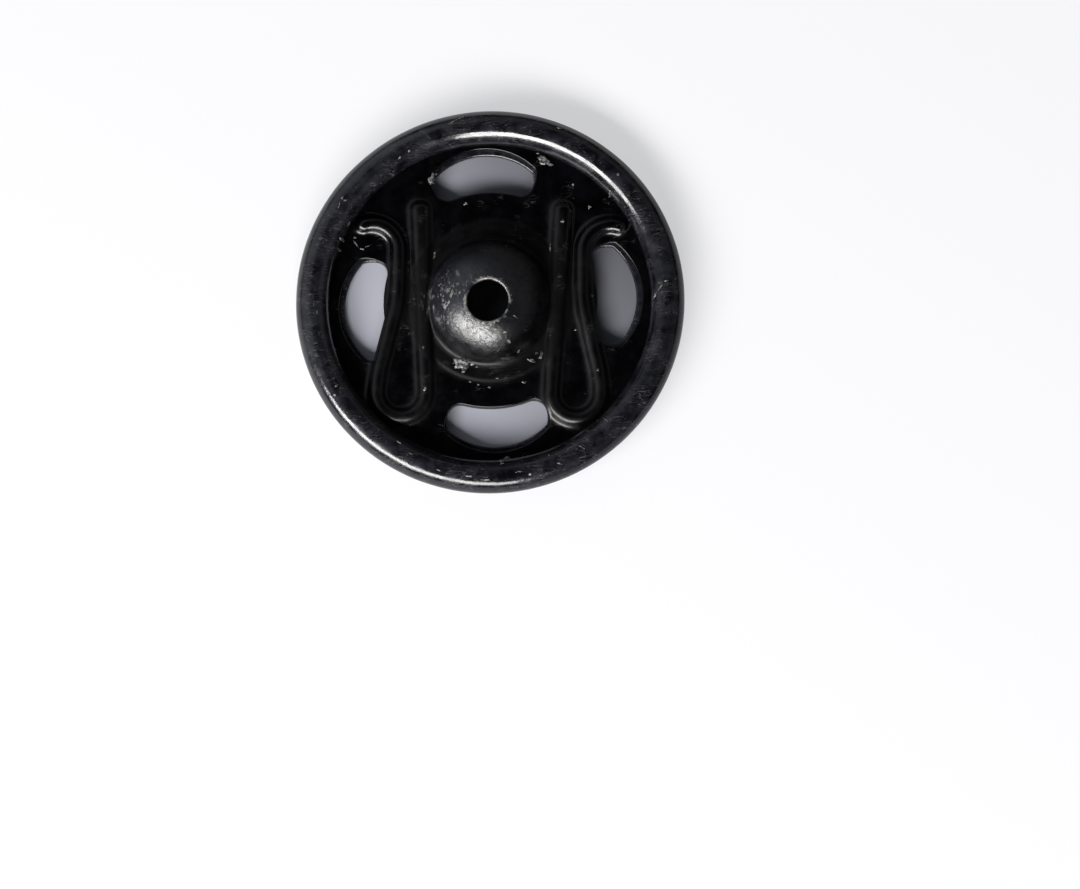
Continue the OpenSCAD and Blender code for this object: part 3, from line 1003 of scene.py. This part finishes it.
def makeChips():
    # Each chip is a flat lens with a ragged outline, laid on the plate or on the curl
    shake = np.random.default_rng(chips["seed"])
    count = chips["corners"]
    a = circle(count)
    waves = np.arange(*chips["waves"])[:, None]
    lift = [[chips["crown"]], np.full(count, chips["shoulder"]), np.full(count, chips["brim"])]
    lift = np.concatenate([*lift, [chips["root"]]]) * chips["lift"]
    points, faces = [], []
    for number, (x, y, length, width, turn) in enumerate(chipMarks):
        start = shake.random(waves.shape) * 2 * np.pi
        ripple = np.cos(waves * a + start) * shake.random(waves.shape) / np.sqrt(waves)
        size = 1 + chips["ragged"] * ripple.sum(0)
        ring = np.outer(np.cos(a) * size * length / 2, unit(turn))
        ring = ring + np.outer(np.sin(a) * size * width / 2, unit(turn + 90))
        spots = np.concatenate([[[0, 0]], ring * chips["inner"], ring, [[0, 0]]]) + [x, y]
        r = np.hypot(spots[:, 0], spots[:, 1])
        onCurl = r > snap["rimMiddle"] - snap["rim"]
        ground = np.where(onCurl, rimHeight(r), plateHeight(spots[:, 0], spots[:, 1]))
        points.append(np.column_stack([spots, ground + lift]))
        first = number * len(spots)
        inner, outer, last = first + 1, first + 1 + count, first + 1 + 2 * count
        k = np.arange(count)
        n = (k + 1) % count
        faces += np.stack([np.full(count, first), inner + k, inner + n], 1).tolist()
        faces += np.stack([inner + k, outer + k, outer + n, inner + n], 1).tolist()
        faces += np.stack([np.full(count, last), outer + n, outer + k], 1).tolist()
    piece = meshPiece("chips", np.concatenate(points), faces, chipFinish)


makeChips()

for name, side, body, node in (
    ("wire_left", -1, "left_wire", "left_spring"),
    ("wire_right", 1, "right_wire", "right_spring"),
):
    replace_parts(makeSpring(name, side), node)


def placeAt(azimuth, height):
    # The way to a place that lies so many degrees round and up
    level = unit(azimuth) * math.cos(math.radians(height))
    return Vector((level[0], level[1], math.sin(math.radians(height))))


# Camera: where the photograph was taken from, with the object's middle at its place in the frame
camera = {
    "azimuth": -79.3,  # of the camera, from +X towards +Y
    "elevation": 78.4,
    "roll": 3.2,
    "distance": 200.0,
    "pixelsPerMm": 25.95,
    "frame": (1080, 889),
    "objectAt": (490, 301),
    "lookHeight": 0.7,
    "sensor": 36,
    "clip": (0.01, 20),
}


def makeCamera():
    data = bpy.data.cameras.new("photoCamera")
    made = newObject("photoCamera", data)
    back = placeAt(camera["azimuth"], camera["elevation"])
    up = unit(90 - camera["roll"])
    up = Vector((up[0], up[1], 0))
    up = (up - up.dot(back) * back).normalized()
    right = up.cross(back)
    scale, (wide, high), (px, py) = camera["pixelsPerMm"], camera["frame"], camera["objectAt"]
    target = Vector((0, 0, camera["lookHeight"]))
    aim = target + right * ((wide / 2 - px) / scale) - up * ((high / 2 - py) / scale)
    place = target + back * camera["distance"]
    z = (place - aim).normalized()
    x = up.cross(z).normalized()
    y = z.cross(x)
    made.matrix_world = Matrix.Translation(place * mm) @ Matrix((x, y, z)).transposed().to_4x4()
    data.sensor_width = camera["sensor"]
    data.lens = scale * camera["sensor"] * camera["distance"] / wide
    data.clip_start, data.clip_end = camera["clip"]
    bpy.context.scene.camera = made


makeCamera()

# The white ground. Under the snap its colour is painted shade, lighter towards the side where the key
# light stands, and it gets no glow.
ground = {
    "halfSize": 3.0,  # in metres
    "colour": (0.27, 0.27, 0.28),
    "mottle": (0.985, 12.0),  # how dark the mottling is, and its scale
    "rough": 0.6,
    "specular": 0.1,
    "glow": 0.58,  # for the camera, so that the ground reads as white
    "glowColour": (0.975, 0.98, 1, 1),
    "mirrored": 0.6,  # share of the glow that a glossy surface sees
    # painted shade on the ground under the snap, with a painted fall of light across it
    "shade": (6.6, 6.9),  # radii between which the shade under the snap ends
    "shadeTone": (0.36, 0.37, 0.42),  # at its lightest
    "shadeSlope": (-62.0, -35.0, 0),  # the way it grows lighter, per metre
    "shadeRange": (-0.42, 0.38, 0.2, 1.0),
}


def makeFloor():
    mesh = bpy.data.meshes.new("floor")
    s = ground["halfSize"]
    mesh.from_pydata([(-s, -s, 0), (s, -s, 0), (s, s, 0), (-s, s, 0)], [], [(0, 1, 2, 3)])
    floor = newObject("floor", mesh)
    material, w, place = newMaterial("floor")
    start, end = ground["shade"]
    beyond = w.between(w.measure("LENGTH", place), start * mm, end * mm)
    path = w.node("LightPath").outputs
    mirrored = w.times(path["Is Glossy Ray"], ground["mirrored"])
    seen = w.larger(path["Is Camera Ray"], mirrored)
    glow = w.times(w.times(beyond, seen), ground["glow"])
    darker, scale = ground["mottle"]
    mottle = tuple(c * darker for c in ground["colour"])
    tone = w.mixColor(w.noise(place, scale), ground["colour"], mottle)
    # painted shade under the snap, growing lighter towards -X and -Y, where the key light stands
    fall = w.measure("DOT_PRODUCT", place, ground["shadeSlope"])
    lit = w.between(fall, *ground["shadeRange"], kind="LINEAR")
    tone = w.mixColor(beyond, w.scaled(ground["shadeTone"], lit), tone)
    surface = {
        "Base Color": tone,
        "Roughness": ground["rough"],
        "Emission Color": ground["glowColour"],
        "Emission Strength": glow,
    }
    shader = w.node("BsdfPrincipled", surface)
    shader.inputs["Specular IOR Level"].default_value = ground["specular"]
    useShader(w, shader)
    mesh.materials.append(material)


# Softboxes: the wide, low key makes the highlight on the dome and the lines along the rim
lights = {
    "keyLight": {
        "at": (236.0, 33.0),  # degrees round from +X, and up
        "distance": 0.30,
        "size": (0.40, 0.09),
        "power": 2.9,
        "colour": (1, 0.985, 0.97),
    },
    "fillLight": {
        "at": (155.0, 38.0),
        "distance": 0.5,
        "size": (0.9, 0.6),
        "power": 0.6,
        "colour": (0.88, 0.92, 1.0),
    },
}


def makeSoftbox(name, light):
    data = bpy.data.lights.new(name, "AREA")
    data.shape = "RECTANGLE"
    data.size, data.size_y = light["size"]
    data.energy = light["power"]
    data.color = light["colour"]
    made = newObject(name, data)
    back = placeAt(*light["at"])
    made.location = back * light["distance"]
    made.rotation_mode = "QUATERNION"
    made.rotation_quaternion = back.to_track_quat("Z", "Y")


# A dim sky with a lighter band, by the height of the way to it
sky = {
    "colour": (0.93, 0.95, 1.0, 1),
    "dim": 0.012,
    "band": 0.2,
    "bandStart": (0.15, 0.4),
    "bandEnd": (0.55, 0.85, 1.0, 0.0),
}


def makeWorld():
    world = bpy.data.worlds.new("studio")
    bpy.context.scene.world = world
    world.use_nodes = True
    world.node_tree.nodes.clear()
    w = Wiring(world.node_tree)
    z = w.node("SeparateXYZ", {0: w.node("TexCoord").outputs["Generated"]}).outputs["Z"]
    band = w.times(w.between(z, *sky["bandStart"]), w.between(z, *sky["bandEnd"]))
    strength = w.plus(w.times(band, sky["band"]), sky["dim"])
    shader = w.node("Background", {"Color": sky["colour"], "Strength": strength})
    useShader(w, shader, "OutputWorld")


makeFloor()
for name, light in lights.items():
    makeSoftbox(name, light)
makeWorld()
bpy.context.scene.view_settings.view_transform = "Standard"
print("camera, floor and lights made")
